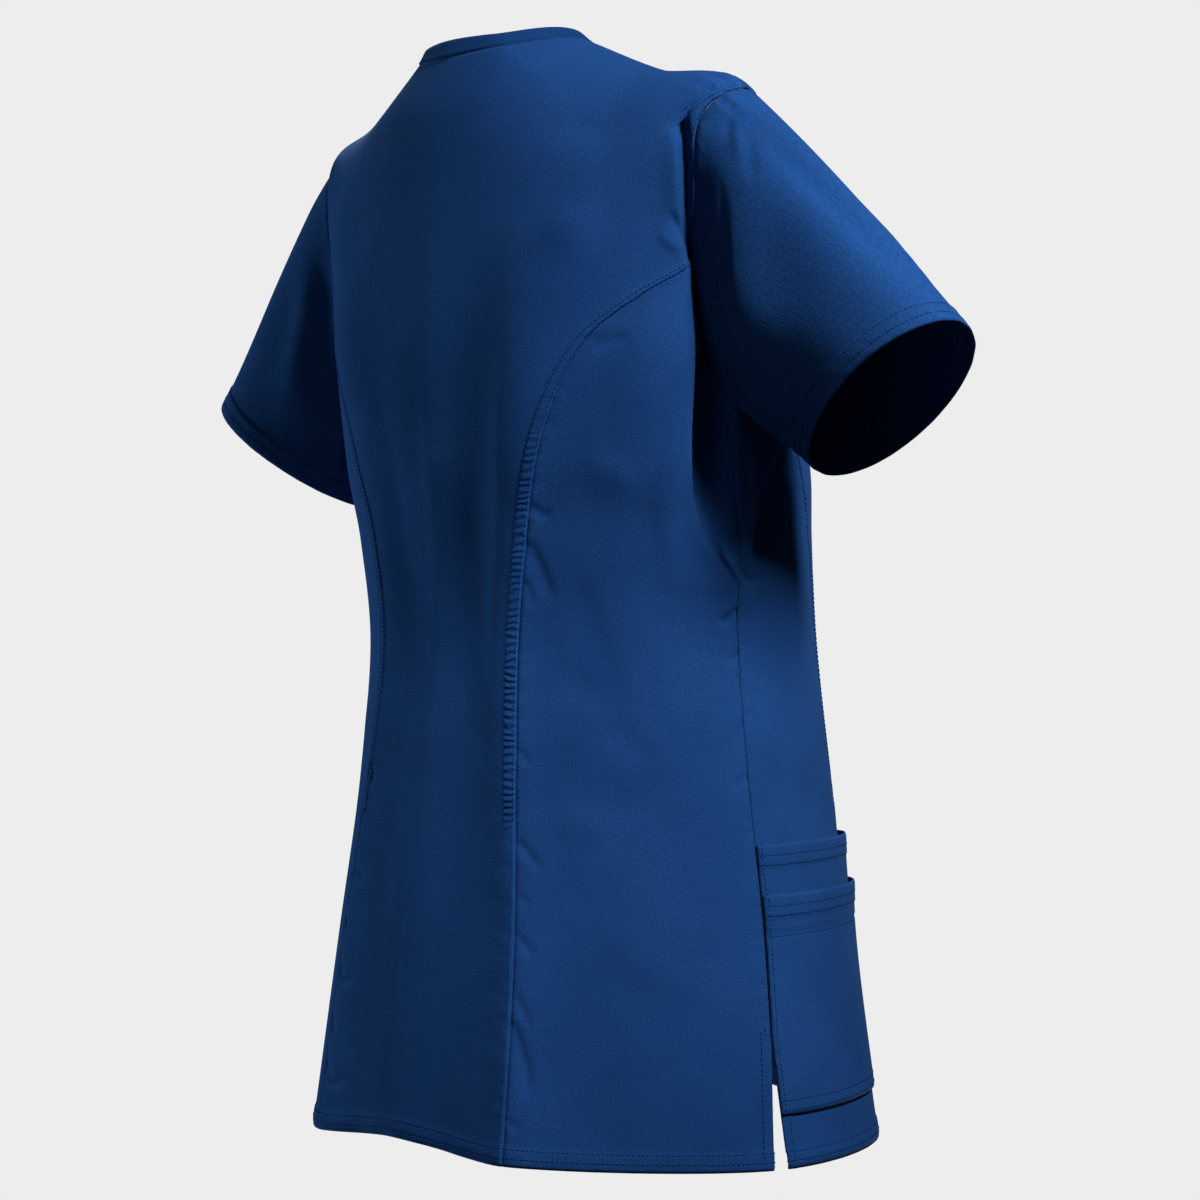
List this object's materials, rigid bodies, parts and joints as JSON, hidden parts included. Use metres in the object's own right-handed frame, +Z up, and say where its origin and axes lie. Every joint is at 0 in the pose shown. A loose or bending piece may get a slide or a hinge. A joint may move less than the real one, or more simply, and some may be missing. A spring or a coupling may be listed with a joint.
{
  "type": "medical scrub top",
  "caption": "Short-sleeved fitted tunic with princess seams, a shallow V neck, side vents and stacked hip pockets, filled out as worn.",
  "frame": {"origin": "base of the wearer's neck, at the height of the shoulder points, where the shoulders carry the garment", "axes": "+X is the wearer's left, +Y is the back, +Z is up; the front faces -Y"},
  "size_m": [0.6525, 0.318, 0.7117],
  "materials": {
    "scrub_cloth": "soft sateen sheen, plain navy woven polyester and cotton",
    "neck_binding": "folded band of the same navy cloth",
    "sewing_thread": "navy polyester thread"
  },
  "bodies": {
    "root": {"back_centre": "scrub_cloth", "front_centre": "scrub_cloth", "back_side_right": "scrub_cloth", "back_side_left": "scrub_cloth", "front_side_right": "scrub_cloth", "front_side_left": "scrub_cloth", "sleeve_right": "scrub_cloth", "sleeve_left": "scrub_cloth", "pocket_upper_right": "scrub_cloth", "pocket_upper_left": "scrub_cloth", "pocket_lower_right": "scrub_cloth", "pocket_lower_left": "scrub_cloth", "neckband": "neck_binding"}
  },
  "joints": []
}
